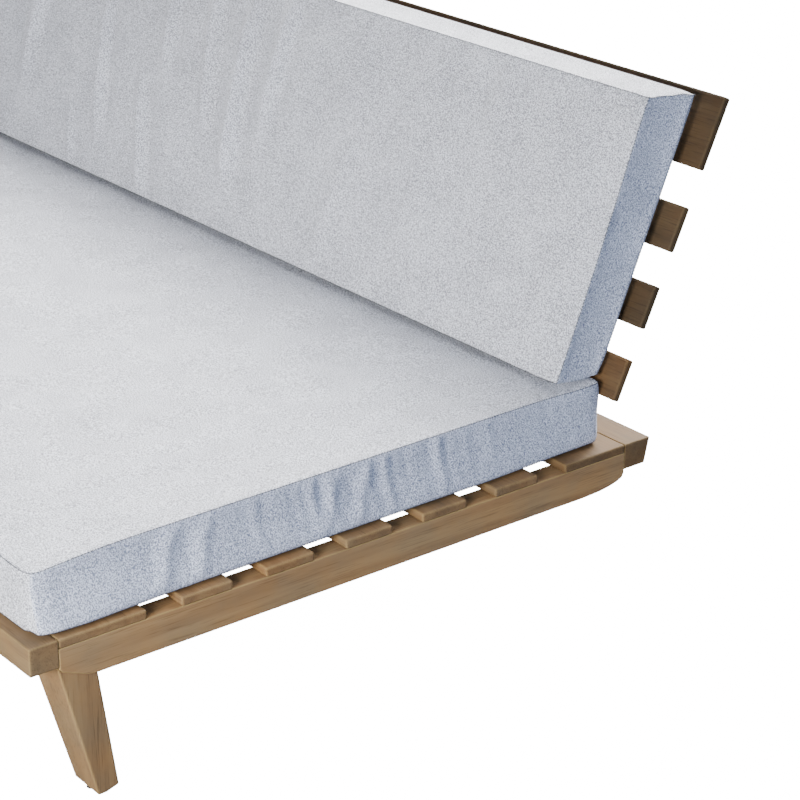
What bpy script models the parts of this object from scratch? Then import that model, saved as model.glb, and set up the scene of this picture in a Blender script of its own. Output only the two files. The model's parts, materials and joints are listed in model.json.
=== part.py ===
"""Outdoor daybed: a slatted hardwood platform on tapered legs, with a sloping slatted back,
a full-length seat cushion and a full-length back cushion.

Metres, +Z up, +X along the length, the sitter faces -Y. The design is drawn from the front face
of the front rail (depth 0) and from the top of the seat slats (height 0); FRONT_Y and PLATFORM_TOP
then bring it to an origin in the middle of its footprint, on the floor.
"""
import math

import bmesh
import bpy
import numpy as np
from mathutils import Matrix, Vector

# Driving dimensions -------------------------------------------------------------------------
LENGTH = 1.950
PLATFORM_TOP = 0.217
FRAME_DEPTH = 0.9172
GAP = 0.0003                 # left between pieces that touch
EASE = 0.0022                # rounding of the boards' edges

SLAT_THICK = 0.0108
SLAT_PITCH = 0.115
SLAT_WIDTH = 0.069
FRONT_SLAT_END = 0.1491      # depth where the wide front slat ends
REAR_SLAT_START = 0.7702     # depth where the wide rear slat starts
SECOND_SLAT_START = 0.1952
NARROW_SLATS = 5

RAIL_WIDTH = 0.0363          # front rail, front to back
FRONT_RAIL_HEIGHT = 0.0341
REAR_RAIL_START = 0.8731
REAR_RAIL_HEIGHT = 0.035
REAR_RAIL_LEAN = 0.008       # its back face slopes in by this much at the bottom
SIDE_RAIL_THICK = 0.031
SIDE_RAIL_BOTTOM = -0.0553
BEARER_X = 0.575             # centre of the two bearers either side of the middle one

BACK_ANGLE = math.radians(25.0)
BACK_FOOT = 0.8166           # depth where the back slats' front plane meets the platform top
BACK_SLATS = ((0.0745, 0.130), (0.172, 0.2285), (0.2745, 0.334), (0.383, 0.4785))
STILE_WIDTH = 0.035
STILE_THICK = 0.028
STILE_TOP = 0.444            # up the slope from the platform top
STILE_BOTTOM = -0.052

LEG_INSET = 0.005            # the leg's outer face sits inside the rail's outer face
LEG_THICK = 0.063            # across the bed; the inner side tapers in below the rail
LEG_FOOT_THICK = 0.0505
LEG_TAPER_START = -0.056
LEG_FOOT = -0.214            # the glide makes up the rest
GLIDE_RADIUS = 0.006

BOLT_RADIUS = 0.003
BOLT_CLEARANCE = 0.0004
HEAD_RADIUS = 0.0065
HEAD_THICK = 0.0035
ROUND_STEPS = 16

SEAT_HALF_LENGTH = 0.951
BACK_HALF_LENGTH = 0.945
SEAT_OUTLINE = ((0.017, 0.0004), (0.822, 0.0004), (0.846, 0.087), (0.017, 0.080))
BACK_OUTLINE = ((0.775, 0.0883), (0.850, 0.0883), (0.9987, 0.435), (0.9157, 0.444))
COVER_THICK = 0.0016
FOAM_INSET = 0.0023          # from the cover's outer face
CUSHION_ROUND = 0.007
ZIP_LENGTH = 0.760
ZIP_HEIGHT = 0.009
SEAT_ZIP_AT = 0.50           # share of the way up the rear face
BACK_ZIP_AT = 0.14

# Derived ------------------------------------------------------------------------------------
STILE_FRONT = BACK_FOOT + (SLAT_THICK + GAP) / math.cos(BACK_ANGLE)
STILE_BACK = STILE_FRONT + STILE_THICK / math.cos(BACK_ANGLE)
TOP_HEIGHT = STILE_TOP * math.cos(BACK_ANGLE)
TOTAL_DEPTH = STILE_BACK + TOP_HEIGHT * math.tan(BACK_ANGLE)
FRONT_Y = -TOTAL_DEPTH / 2

ACACIA = ((0.29, 0.20, 0.12, 1.0), 0.62, 0.0)
CANVAS = ((0.58, 0.60, 0.65, 1.0), 0.9, 0.0)
FOAM = ((0.86, 0.84, 0.74, 1.0), 0.95, 0.0)
ZINC_STEEL = ((0.55, 0.55, 0.54, 1.0), 0.35, 1.0)
BLACK_NYLON = ((0.03, 0.03, 0.03, 1.0), 0.55, 0.0)
ZIP_NYLON = ((0.42, 0.43, 0.46, 1.0), 0.6, 0.0)


def clear_scene():
    for item in list(bpy.data.objects):
        bpy.data.objects.remove(item)


def new_collection(name):
    collection = bpy.data.collections.new(name)
    bpy.context.scene.collection.children.link(collection)
    return collection


clear_scene()
PARTS = new_collection("daybed")
CUTTERS = new_collection("cutters")


def finish(name, look):
    """A Principled material of the piece's own."""
    colour, roughness, metallic = look
    material = bpy.data.materials.new(name)
    material.use_nodes = True
    shader = material.node_tree.nodes["Principled BSDF"]
    shader.inputs["Base Color"].default_value = colour
    shader.inputs["Roughness"].default_value = roughness
    shader.inputs["Metallic"].default_value = metallic
    material.diffuse_color = colour
    return material


def world(x, depth, height):
    """From the drawing's depth and height to the part's own frame."""
    return Vector((x, depth + FRONT_Y, height + PLATFORM_TOP))


def add_piece(name, mesh, look, location, rotation=(0, 0, 0), holder=None):
    piece = bpy.data.objects.new(name, mesh)
    piece.location = location
    piece.rotation_euler = rotation
    mesh.materials.append(finish(name, look))
    PARTS.objects.link(piece)
    if holder is not None:
        piece.parent = holder
        piece.location = Vector(location) - holder_place(holder)
    return piece


def add_cutter(name, mesh, location, rotation=(0, 0, 0)):
    cutter = bpy.data.objects.new(name, mesh)
    cutter.location = location
    cutter.rotation_euler = rotation
    cutter.hide_render = True
    cutter.display_type = "WIRE"
    CUTTERS.objects.link(cutter)
    return cutter


def add_holder(name, location, parent=None):
    """An empty at a joint, for the pieces that move with it."""
    holder = bpy.data.objects.new(name, None)
    PARTS.objects.link(holder)
    holder.location = location
    if parent is not None:
        holder.parent = parent
        holder.location = Vector(location) - holder_place(parent)
    return holder


def holder_place(holder):
    place = holder.location.copy()
    if holder.parent is not None:
        place += holder_place(holder.parent)
    return place


def box_mesh(name, size):
    mesh = bpy.data.meshes.new(name)
    shape = bmesh.new()
    bmesh.ops.create_cube(shape, size=1.0, matrix=Matrix.Diagonal((*size, 1.0)))
    shape.to_mesh(mesh)
    shape.free()
    return mesh


def outline_mesh(name, outline, width):
    """A flat outline of (depth, height) points given its thickness along X, centred on X."""
    curve = bpy.data.curves.new(name, "CURVE")
    curve.dimensions = "2D"
    curve.fill_mode = "BOTH"
    curve.extrude = width / 2
    spline = curve.splines.new("POLY")
    spline.points.add(len(outline) - 1)
    for point, (depth, height) in zip(spline.points, outline):
        point.co = (depth, height, 0, 1)
    spline.use_cyclic_u = True
    guide = bpy.data.objects.new(name + "_guide", curve)
    CUTTERS.objects.link(guide)
    bpy.context.view_layer.update()
    depsgraph = bpy.context.evaluated_depsgraph_get()
    mesh = bpy.data.meshes.new_from_object(guide.evaluated_get(depsgraph))
    mesh.name = name
    bpy.data.objects.remove(guide)
    shape = bmesh.new()
    shape.from_mesh(mesh)
    bmesh.ops.remove_doubles(shape, verts=shape.verts, dist=1e-6)
    # the curve's own x, y and z become depth, height and X
    turn = Matrix(((0, 0, 1, 0), (1, 0, 0, 0), (0, 1, 0, 0), (0, 0, 0, 1)))
    bmesh.ops.transform(shape, matrix=turn, verts=shape.verts)
    bmesh.ops.recalc_face_normals(shape, faces=shape.faces)
    shape.to_mesh(mesh)
    shape.free()
    return mesh


def ease_edges(piece, width=EASE, segments=2, flush=None):
    """Rounds the sharp edges, but not those whose middle point flush() picks out.

    An edge that meets a neighbour flush stays sharp, so no groove shows along the joint.
    """
    bevel = piece.modifiers.new("eased_edges", "BEVEL")
    bevel.width = width
    bevel.segments = segments
    bevel.limit_method = "ANGLE"
    bevel.angle_limit = math.radians(35)
    if flush is None:
        return
    bevel.limit_method = "WEIGHT"
    shape = bmesh.new()
    shape.from_mesh(piece.data)
    shape.edges.ensure_lookup_table()
    weight = shape.edges.layers.float.new("bevel_weight_edge")
    for edge in shape.edges:
        middle = (edge.verts[0].co + edge.verts[1].co) / 2
        sharp = edge.calc_face_angle(0) > bevel.angle_limit
        edge[weight] = 1.0 if sharp and not flush(middle) else 0.0
    shape.to_mesh(piece.data)
    shape.free()


def cut(piece, cutter, name):
    boolean = piece.modifiers.new(name, "BOOLEAN")
    boolean.operation = "DIFFERENCE"
    boolean.solver = "EXACT"
    boolean.object = cutter


def rod_along_x(name, start, length, radius):
    """A round cutter that runs along +X from start."""
    mesh = bpy.data.meshes.new(name)
    shape = bmesh.new()
    bmesh.ops.create_cone(shape, cap_ends=True, segments=ROUND_STEPS, radius1=radius,
                          radius2=radius, depth=length)
    shape.to_mesh(mesh)
    shape.free()
    middle = Vector(start) + Vector((length / 2, 0, 0))
    return add_cutter(name, mesh, middle, (0, math.radians(90), 0))


# Platform -----------------------------------------------------------------------------------
def arc(start, corner, end, steps):
    """A quadratic curve from start to end that leaves and arrives along the lines to corner."""
    a, b, c = (np.array(p, float) for p in (start, corner, end))
    shares = np.linspace(0, 1, steps + 1)
    return [tuple((1 - t) ** 2 * a + 2 * t * (1 - t) * b + t ** 2 * c) for t in shares]


def side_rail_outline(drop=0.0, rise=0.0):
    """The side rail seen from its end of the bed: cut back under the front, curved at the rear.

    drop lowers the underside and rise lifts the top, for the rabbet that a leg needs.
    """
    front, rear = RAIL_WIDTH + GAP, REAR_RAIL_START - GAP
    top = -SLAT_THICK - GAP + rise
    bottom = SIDE_RAIL_BOTTOM
    under = [(front, -0.0368), (0.040, -0.0408), (0.072, -0.0540), (0.084, bottom)]
    under += arc((0.800, bottom), (0.852, -0.0545), (rear - 0.003, -0.0450), 6)
    under += [(rear, -0.0400)]
    return [(front, top)] + [(d, h - drop) for d, h in under] + [(rear, top)]


def straight_rail(name, outline, joint_depth):
    """The front or rear rail. Its ends meet the side rails flush at joint_depth."""
    rail = add_piece(name, outline_mesh(name, outline, LENGTH), ACACIA, world(0, 0, 0))
    at_joint = lambda p: abs(p.x) > LENGTH / 2 - GAP and abs(p.y - joint_depth) < GAP
    ease_edges(rail, 0.0015, flush=at_joint)
    return rail


def cross_piece(name, middle_x):
    """A side rail or a bearer: both run front to back under the slats."""
    mesh = outline_mesh(name, side_rail_outline(), SIDE_RAIL_THICK)
    rail = add_piece(name, mesh, ACACIA, world(middle_x, 0, 0))
    front, rear, top = RAIL_WIDTH + GAP, REAR_RAIL_START - GAP, -SLAT_THICK - GAP
    at_joint = lambda p: p.z > top - GAP or p.y < front + GAP or p.y > rear - GAP
    ease_edges(rail, 0.0018, flush=at_joint)
    return rail


def board(name, size, centre, tilt=0.0, flush=None):
    piece = add_piece(name, box_mesh(name, size), ACACIA, centre, (tilt, 0, 0))
    ease_edges(piece, flush=flush)
    return piece


def seat_slat(name, start, end):
    centre = world(0, (start + end) / 2, -SLAT_THICK / 2)
    on_rail = lambda p: abs(p.x) > LENGTH / 2 - GAP and p.z < -SLAT_THICK / 2 + GAP
    return board(name, (LENGTH, end - start, SLAT_THICK), centre, flush=on_rail)


def make_rails():
    straight_rail("front_rail", ((0, 0), (RAIL_WIDTH, 0), (RAIL_WIDTH, -FRONT_RAIL_HEIGHT),
                                 (0, -FRONT_RAIL_HEIGHT)), RAIL_WIDTH)
    back = FRAME_DEPTH
    straight_rail("rear_rail", ((REAR_RAIL_START, 0), (back, 0),
                                (back - REAR_RAIL_LEAN, -REAR_RAIL_HEIGHT),
                                (REAR_RAIL_START, -REAR_RAIL_HEIGHT)), REAR_RAIL_START)
    outer = (LENGTH - SIDE_RAIL_THICK) / 2
    places = {"side_rail_left": -outer, "bearer_left": -BEARER_X, "bearer_centre": 0.0,
              "bearer_right": BEARER_X, "side_rail_right": outer}
    return {name: cross_piece(name, x) for name, x in places.items()}


def make_seat_slats():
    seat_slat("seat_slat_1", RAIL_WIDTH + GAP, FRONT_SLAT_END)
    for i in range(NARROW_SLATS):
        start = SECOND_SLAT_START + SLAT_PITCH * i
        seat_slat(f"seat_slat_{i + 2}", start, start + SLAT_WIDTH)
    return seat_slat(f"seat_slat_{NARROW_SLATS + 2}", REAR_SLAT_START, REAR_RAIL_START - GAP)


# Back ---------------------------------------------------------------------------------------
def up_the_back(distance, behind):
    """Depth and height of a point up the back's slope, and square behind its front plane."""
    depth = BACK_FOOT + distance * math.sin(BACK_ANGLE) + behind * math.cos(BACK_ANGLE)
    height = distance * math.cos(BACK_ANGLE) - behind * math.sin(BACK_ANGLE)
    return depth, height


def make_back_slats():
    for i, (low, high) in enumerate(BACK_SLATS):
        centre = world(0, *up_the_back((low + high) / 2, SLAT_THICK / 2))
        board(f"back_slat_{i + 1}", (LENGTH, SLAT_THICK, high - low), centre, -BACK_ANGLE)


def stile_outline(grow=0.0):
    """The upright behind the back slats, from beside its bearer up through the rear slat."""
    slope = math.tan(BACK_ANGLE)
    low, high = STILE_BOTTOM, TOP_HEIGHT
    front, back = STILE_FRONT - grow, STILE_BACK + grow
    return ((front + slope * low, low), (back + slope * low, low),
            (back + slope * high, high), (front + slope * high, high))


def make_stiles(rear_slat):
    """Each stile stands on the outer side of its bearer and passes a mortise in the rear slat."""
    stiles = {}
    for side, bearer_x in (("left", -BEARER_X), ("centre", 0.0), ("right", BEARER_X)):
        outward = -1 if side == "left" else 1
        x = bearer_x + outward * (SIDE_RAIL_THICK / 2 + GAP + STILE_WIDTH / 2)
        name = f"back_stile_{side}"
        mesh = outline_mesh(name, stile_outline(), STILE_WIDTH)
        stiles[side] = add_piece(name, mesh, ACACIA, world(x, 0, 0))
        ease_edges(stiles[side], 0.0018)
        clearance = 0.0006
        hole = outline_mesh(name + "_mortise", stile_outline(clearance),
                            STILE_WIDTH + 2 * clearance)
        cut(rear_slat, add_cutter(name + "_mortise", hole, world(x, 0, 0)), "mortise_" + side)
    return stiles


# Legs and bolts -----------------------------------------------------------------------------
def leg_outline():
    """Front leg: a tongue that stands behind the rail, then a taper that slants to the rear.

    The foot is flat under its front half and cut up a little towards the rear.
    """
    top = -SLAT_THICK - 2 * GAP
    tongue = RAIL_WIDTH + 2 * GAP
    return ((tongue, top), (tongue, -0.0410), (0.0790, LEG_FOOT), (0.0920, LEG_FOOT),
            (0.1070, LEG_FOOT + 0.0045), (0.0808, top))


def leg_mesh(name, outline, inward):
    """The outline at full thickness, with the inner side slanting in below the rail."""
    mesh = outline_mesh(name, outline, LEG_THICK)
    shape = bmesh.new()
    shape.from_mesh(mesh)
    everything = shape.verts[:] + shape.edges[:] + shape.faces[:]
    bmesh.ops.bisect_plane(shape, geom=everything, plane_co=(0, 0, LEG_TAPER_START),
                           plane_no=(0, 0, 1), dist=1e-6)
    taper = (LEG_THICK - LEG_FOOT_THICK) / (LEG_TAPER_START - LEG_FOOT)
    for vert in shape.verts:
        if vert.co.x * inward > 0 and vert.co.z < LEG_TAPER_START:
            vert.co.x -= inward * taper * (LEG_TAPER_START - vert.co.z)
    shape.to_mesh(mesh)
    shape.free()
    return mesh


def rear_copy(outline):
    """The same outline turned to face the rear rail."""
    return tuple((RAIL_WIDTH + REAR_RAIL_START - d, h) for d, h in outline)


def make_leg(name, rail_x, inward, rear):
    """A leg under a side rail or bearer, and the cutter for the rabbet that the rail sits in.

    The rabbet leaves a tongue on the rail's inner side. It is cut last, after the bolt holes.
    """
    outer_x = rail_x - inward * (SIDE_RAIL_THICK / 2 - LEG_INSET)
    x = outer_x + inward * LEG_THICK / 2
    outline = rear_copy(leg_outline()) if rear else leg_outline()
    leg = add_piece(name, leg_mesh(name, outline, inward), ACACIA, world(x, 0, 0))
    ease_edges(leg, 0.0025)
    rabbet_name = name + "_rabbet"
    extra = 0.002
    rabbet_width = SIDE_RAIL_THICK + GAP + extra
    rabbet = outline_mesh(rabbet_name, side_rail_outline(drop=0.0005, rise=0.01), rabbet_width)
    rabbet_cutter = add_cutter(rabbet_name, rabbet,
                               world(rail_x + inward * (GAP - extra) / 2, 0, 0))
    foot = [d for d, h in outline if h == LEG_FOOT]
    glide_place = world(outer_x + inward * LEG_FOOT_THICK / 2, sum(foot) / 2, 0)
    glide_place.z = (PLATFORM_TOP + LEG_FOOT - GAP) / 2
    glide_mesh = bpy.data.meshes.new("glide")
    shape = bmesh.new()
    bmesh.ops.create_cone(shape, cap_ends=True, segments=ROUND_STEPS, radius1=GLIDE_RADIUS,
                          radius2=GLIDE_RADIUS, depth=2 * glide_place.z)
    shape.to_mesh(glide_mesh)
    shape.free()
    add_piece(name.replace("leg", "glide"), glide_mesh, BLACK_NYLON, glide_place)
    return leg, rabbet_cutter


def make_bolt(name, start_x, end_x, depth, height, nut, drilled):
    """A bolt along X: its head sits outside start_x, and its shank, or its nut, ends at end_x."""
    way = 1 if end_x > start_x else -1
    reach = abs(end_x - start_x)
    head, shank = HEAD_RADIUS, BOLT_RADIUS
    profile = [(0, HEAD_THICK + GAP), (head * 0.7, HEAD_THICK + GAP), (head, HEAD_THICK * 0.5),
               (head, GAP), (shank, GAP)]
    if nut:
        profile += [(shank, -reach - GAP), (head, -reach - GAP),
                    (head, -reach - GAP - HEAD_THICK), (0, -reach - GAP - HEAD_THICK)]
    else:
        profile += [(shank, -reach), (0, -reach - shank * 0.4)]
    mesh = bpy.data.meshes.new(name)
    shape = bmesh.new()
    verts = [shape.verts.new((r, 0, z)) for r, z in profile]
    for above, below in zip(verts, verts[1:]):
        shape.edges.new((above, below))
    shape.to_mesh(mesh)
    shape.free()
    bolt = add_piece(name, mesh, ZINC_STEEL, world(start_x, depth, height),
                     (0, math.radians(-90) * way, 0))
    screw = bolt.modifiers.new("turned", "SCREW")
    screw.steps = ROUND_STEPS
    screw.render_steps = ROUND_STEPS
    screw.use_merge_vertices = True
    screw.merge_threshold = 0.0001
    screw.use_smooth_shade = False
    length = reach + (0.004 if nut else 0.0015)
    low_x = start_x - 0.002 if way > 0 else start_x - length
    rod = rod_along_x(name + "_hole", world(low_x, depth, height), length + 0.002,
                      BOLT_RADIUS + BOLT_CLEARANCE)
    for piece in drilled:
        cut(piece, rod, "hole_" + name)


def make_legs(rails, stiles):
    half = (LENGTH - SIDE_RAIL_THICK) / 2
    tongue_face = LEG_INSET + LEG_THICK - SIDE_RAIL_THICK / 2
    blind = SIDE_RAIL_THICK / 2 - 0.009
    fronts = (("left", -half, 1, "side_rail_left"), ("centre", 0.0, -1, "bearer_centre"),
              ("right", half, -1, "side_rail_right"))
    for side, rail_x, inward, rail in fronts:
        leg, rabbet = make_leg(f"leg_front_{side}", rail_x, inward, rear=False)
        start, end = rail_x + inward * tongue_face, rail_x - inward * blind
        for number, (depth, height) in enumerate(((0.0500, -0.0230), (0.0680, -0.0380)), 1):
            make_bolt(f"front_leg_bolt_{side}_{number}", start, end, depth, height, False,
                      (leg, rails[rail]))
        cut(leg, rabbet, "rabbet")
    rears = (("left", -BEARER_X, 1), ("centre", 0.0, -1), ("right", BEARER_X, -1))
    for side, rail_x, inward in rears:
        leg, rabbet = make_leg(f"leg_rear_{side}", rail_x, inward, rear=True)
        bearer, stile = rails[f"bearer_{side}"], stiles[side]
        start = rail_x + inward * tongue_face
        bearer_inner = rail_x + inward * SIDE_RAIL_THICK / 2
        bearer_outer = rail_x - inward * SIDE_RAIL_THICK / 2
        stile_outer = bearer_outer - inward * (GAP + STILE_WIDTH)
        make_bolt(f"leg_and_stile_bolt_{side}", start, stile_outer, 0.8400, -0.0240, True,
                  (leg, bearer, stile))
        make_bolt(f"rear_leg_bolt_{side}", start, bearer_outer, 0.8610, -0.0360, True,
                  (leg, bearer))
        make_bolt(f"stile_bolt_{side}", bearer_inner, stile_outer, 0.8160, -0.0420, True,
                  (bearer, stile))
        cut(leg, rabbet, "rabbet")


# Cushions -----------------------------------------------------------------------------------
def inset(outline, distance):
    """The outline moved in by distance on every side. Its points run the same way round."""
    points = [np.array(p, float) for p in outline]
    middle = sum(points) / len(points)
    lines = []
    for a, b in zip(points, points[1:] + points[:1]):
        along = (b - a) / np.linalg.norm(b - a)
        across = np.array((-along[1], along[0]))
        if np.dot(middle - a, across) < 0:
            across = -across
        lines.append((a + across * distance, along))
    moved = []
    for (p, u), (q, v) in zip(lines[-1:] + lines[:-1], lines):
        share = np.linalg.solve(np.array((u, -v)).T, q - p)[0]
        moved.append(tuple(p + u * share))
    return moved


def add_cushion(name, outline, half_length, zip_at, holder):
    """A cover with its zip in the rear face, the foam core inside it, and the zip itself."""
    cover = add_piece(f"{name}_cover", outline_mesh(name, outline, 2 * half_length), CANVAS,
                      world(0, 0, 0), holder=holder)
    ease_edges(cover, CUSHION_ROUND, 3)
    shell = cover.modifiers.new("cloth", "SOLIDIFY")
    shell.thickness = COVER_THICK
    shell.offset = -1
    shell.use_even_offset = True
    core = add_piece(f"{name}_foam",
                     outline_mesh(name + "_foam", inset(outline, FOAM_INSET),
                                  2 * (half_length - FOAM_INSET)),
                     FOAM, world(0, 0, 0), holder=holder)
    ease_edges(core, CUSHION_ROUND, 2)

    low, high = np.array(outline[1]), np.array(outline[2])
    spot = low + (high - low) * zip_at
    lean = math.atan2(high[0] - low[0], high[1] - low[1])
    outwards = Vector((0, math.cos(lean), -math.sin(lean)))
    turn = (-lean, 0, 0)
    face = world(0, *spot)
    slot = add_cutter(name + "_zip_slot",
                      box_mesh(name + "_zip_slot", (ZIP_LENGTH, 2 * COVER_THICK, ZIP_HEIGHT)),
                      face - outwards * COVER_THICK / 2, turn)
    cut(cover, slot, "zip_slot")
    strip_thick = COVER_THICK - GAP
    strip_size = (ZIP_LENGTH - 2 * GAP, strip_thick, ZIP_HEIGHT - 2 * GAP)
    add_piece(f"{name}_zip", box_mesh(name + "_zip", strip_size), ZIP_NYLON,
              face - outwards * strip_thick / 2, turn, holder=holder)
    slider_size = Vector((0.0090, 0.0022, 0.0070))
    travel_end = ZIP_LENGTH / 2 - 0.030
    slider_place = (face + Vector((-travel_end, 0, 0))
                    + outwards * (slider_size.y / 2 + GAP))
    add_piece(f"{name}_zip_slider", slider_mesh(name, slider_size), ZINC_STEEL, slider_place,
              turn, holder=holder)


def slider_mesh(name, size):
    """The slider's body with its pull hanging down from it."""
    pull_length = 0.020
    half_x, half_z = size.x / 2, size.z / 2
    curve_points = ((-half_x, half_z), (half_x, half_z), (half_x, -half_z), (0.0022, -half_z),
                    (0.0028, -half_z - pull_length), (-0.0028, -half_z - pull_length),
                    (-0.0022, -half_z), (-half_x, -half_z))
    mesh = outline_mesh(name + "_slider", curve_points, size.y)
    # the outline's thickness comes out along X, so it is turned to stand across depth
    mesh.transform(Matrix.Rotation(math.radians(-90), 4, "Z"))
    return mesh


def make_cushions():
    seat_lift = add_holder("seat_cushion_lift", world(0, 0.43, 0))
    add_cushion("seat_cushion", SEAT_OUTLINE, SEAT_HALF_LENGTH, SEAT_ZIP_AT, seat_lift)
    back_lift = add_holder("back_cushion_lift", world(0, 0.85, 0.09), parent=seat_lift)
    add_cushion("back_cushion", BACK_OUTLINE, BACK_HALF_LENGTH, BACK_ZIP_AT, back_lift)


frame_rails = make_rails()
wide_rear_slat = make_seat_slats()
make_back_slats()
back_stiles = make_stiles(wide_rear_slat)
make_legs(frame_rails, back_stiles)
make_cushions()
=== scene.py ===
import json
import math
import random

import bmesh
import bpy
import numpy as np
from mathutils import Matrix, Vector


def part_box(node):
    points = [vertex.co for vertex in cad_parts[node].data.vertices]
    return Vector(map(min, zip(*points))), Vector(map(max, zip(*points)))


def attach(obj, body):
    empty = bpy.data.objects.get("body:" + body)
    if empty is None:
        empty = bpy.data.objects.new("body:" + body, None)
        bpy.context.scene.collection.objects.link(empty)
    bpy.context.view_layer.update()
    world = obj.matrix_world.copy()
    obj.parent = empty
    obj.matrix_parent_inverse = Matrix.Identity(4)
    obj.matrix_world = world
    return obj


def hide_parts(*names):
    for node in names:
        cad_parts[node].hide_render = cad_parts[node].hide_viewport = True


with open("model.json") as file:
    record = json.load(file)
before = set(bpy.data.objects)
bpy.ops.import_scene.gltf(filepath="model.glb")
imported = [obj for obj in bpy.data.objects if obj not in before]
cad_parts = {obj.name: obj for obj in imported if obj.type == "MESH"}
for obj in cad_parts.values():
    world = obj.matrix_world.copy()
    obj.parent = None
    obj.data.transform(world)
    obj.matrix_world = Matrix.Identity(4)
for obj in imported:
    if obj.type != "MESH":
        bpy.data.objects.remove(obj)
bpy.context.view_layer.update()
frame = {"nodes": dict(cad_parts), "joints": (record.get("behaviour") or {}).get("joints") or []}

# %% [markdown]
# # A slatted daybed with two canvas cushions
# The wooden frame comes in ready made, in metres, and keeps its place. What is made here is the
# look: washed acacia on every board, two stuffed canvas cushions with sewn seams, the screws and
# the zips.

nodes = frame["nodes"]

# %% [markdown]
# ## Small helpers
# Colours are written as sRGB hex values, the way a paint card gives them, and turned to linear by
# one function. One more function adds a node to any tree, with its settings and its links.

# %% Colour and node helpers
MM = 0.001


def linear(hex_colour):
    """An sRGB hex colour as linear RGBA."""
    parts = [int(hex_colour[i:i + 2], 16) / 255 for i in (1, 3, 5)]
    return [c / 12.92 if c <= 0.04045 else ((c + 0.055) / 1.055) ** 2.4 for c in parts] + [1.0]


def put(tree, kind, wires=None, stops=None, **settings):
    """Adds a node. settings are its properties; wires are its inputs, as values or sockets,
    by name, number or identifier; stops are a colour ramp's (position, colour) pairs."""
    node = tree.nodes.new(kind)
    for name, value in settings.items():
        setattr(node, name, value)
    for name, value in (wires or {}).items():
        exact = [socket for socket in node.inputs if socket.identifier == name]
        socket = exact[0] if exact else node.inputs[name]
        if isinstance(value, bpy.types.NodeSocket):
            tree.links.new(value, socket)
        else:
            socket.default_value = value
    for number, (position, colour) in enumerate(stops or ()):
        elements = node.color_ramp.elements
        element = elements[number] if number < 2 else elements.new(position)
        element.position = position
        element.color = colour
    return node


def grey(level):
    return (level, level, level, 1.0)


def surface(name, **constants):
    """A new material with its Principled shader's constant values set, its tree and shader."""
    material = bpy.data.materials.new(name)
    material.use_nodes = True
    shader = material.node_tree.nodes["Principled BSDF"]
    for socket, value in constants.items():
        shader.inputs[socket.replace("_", " ")].default_value = value
    return material, material.node_tree, shader


# %% [markdown]
# ## Camera
# A long lens from the right-hand front corner, a little above the bed, looking down its length.
# The bed runs out of the frame on the left, and the near corner fills it.

# %% Camera
SENSOR = 36.0
LENS = 104.82
EYE = (2.9186, -1.5746, 1.4346)
TURN = (66.951, -0.333, 51.484)

eye = bpy.data.cameras.new("studio_camera")
eye.sensor_width = SENSOR
eye.lens = LENS
eye.clip_start, eye.clip_end = 0.1, 60.0
camera = bpy.data.objects.new("studio_camera", eye)
camera.location = EYE
camera.rotation_euler = [math.radians(a) for a in TURN]
bpy.context.scene.collection.objects.link(camera)
bpy.context.scene.camera = camera
print("camera at", EYE, "with a", LENS, "mm lens")

# %% [markdown]
# ## Studio
# Furniture is shown on a white sweep under big soft lamps. The sweep that
# the lens sees is lit until it is white. A second, duller floor is there only for the light that
# bounces back up under the bed, so the white sweep doesn't burn out the undersides.

# %% Floor and lamps
SWEEP_SIZE = 60.0


def floor_sheet(name, height, material):
    half = SWEEP_SIZE / 2
    mesh = bpy.data.meshes.new(name)
    corners = [(-half, -half, height), (half, -half, height), (half, half, height),
               (-half, half, height)]
    mesh.from_pydata(corners, [], [(0, 1, 2, 3)])
    sheet = bpy.data.objects.new(name, mesh)
    mesh.materials.append(material)
    bpy.context.scene.collection.objects.link(sheet)
    return sheet


def area_lamp(name, place, target, size, watts, colour):
    light = bpy.data.lights.new(name, "AREA")
    light.shape = "RECTANGLE"
    light.size, light.size_y = size
    light.energy = watts
    light.color = linear(colour)[:3]
    lamp = bpy.data.objects.new(name, light)
    lamp.location = place
    lamp.rotation_euler = (Vector(target) - Vector(place)).to_track_quat("-Z", "Y").to_euler()
    bpy.context.scene.collection.objects.link(lamp)
    return lamp


white_paper, _, paper_shader = surface("white_paper_sweep", Roughness=1.0)
paper_shader.inputs["Base Color"].default_value = grey(0.85)
paper_shader.inputs["Emission Color"].default_value = grey(1.0)
paper_shader.inputs["Emission Strength"].default_value = 16.0
sweep = floor_sheet("sweep", -0.5 * MM, white_paper)
sweep.visible_diffuse = False
sweep.visible_glossy = False

bounce_paper, _, bounce_shader = surface("bounce_paper", Roughness=1.0)
bounce_shader.inputs["Base Color"].default_value = grey(0.62)
bounce = floor_sheet("bounce_floor", -1.0 * MM, bounce_paper)
bounce.visible_camera = False

room = bpy.data.worlds.new("studio")
room.use_nodes = True
backdrop = room.node_tree.nodes["Background"]
backdrop.inputs["Color"].default_value = linear("#e2eaff")
backdrop.inputs["Strength"].default_value = 0.15
bpy.context.scene.world = room

MIDDLE = (0.2, -0.1, 0.3)
area_lamp("near_softbox", (1.6, -2.1, 0.9), MIDDLE, (1.0, 0.8), 92, "#ffffff")
area_lamp("low_softbox", (0.7, -2.2, 0.5), MIDDLE, (1.2, 0.6), 14, "#ffffff")
area_lamp("high_softbox", (-0.8, 2.0, 3.0), MIDDLE, (2.4, 1.6), 390, "#ffffff")
area_lamp("rear_softbox", (0.2, 2.6, 2.4), MIDDLE, (2.0, 1.2), 205, "#fffdf8")
area_lamp("side_fill", (3.8, 0.2, 1.3), MIDDLE, (1.6, 1.6), 45, "#c8dcff")
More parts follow.
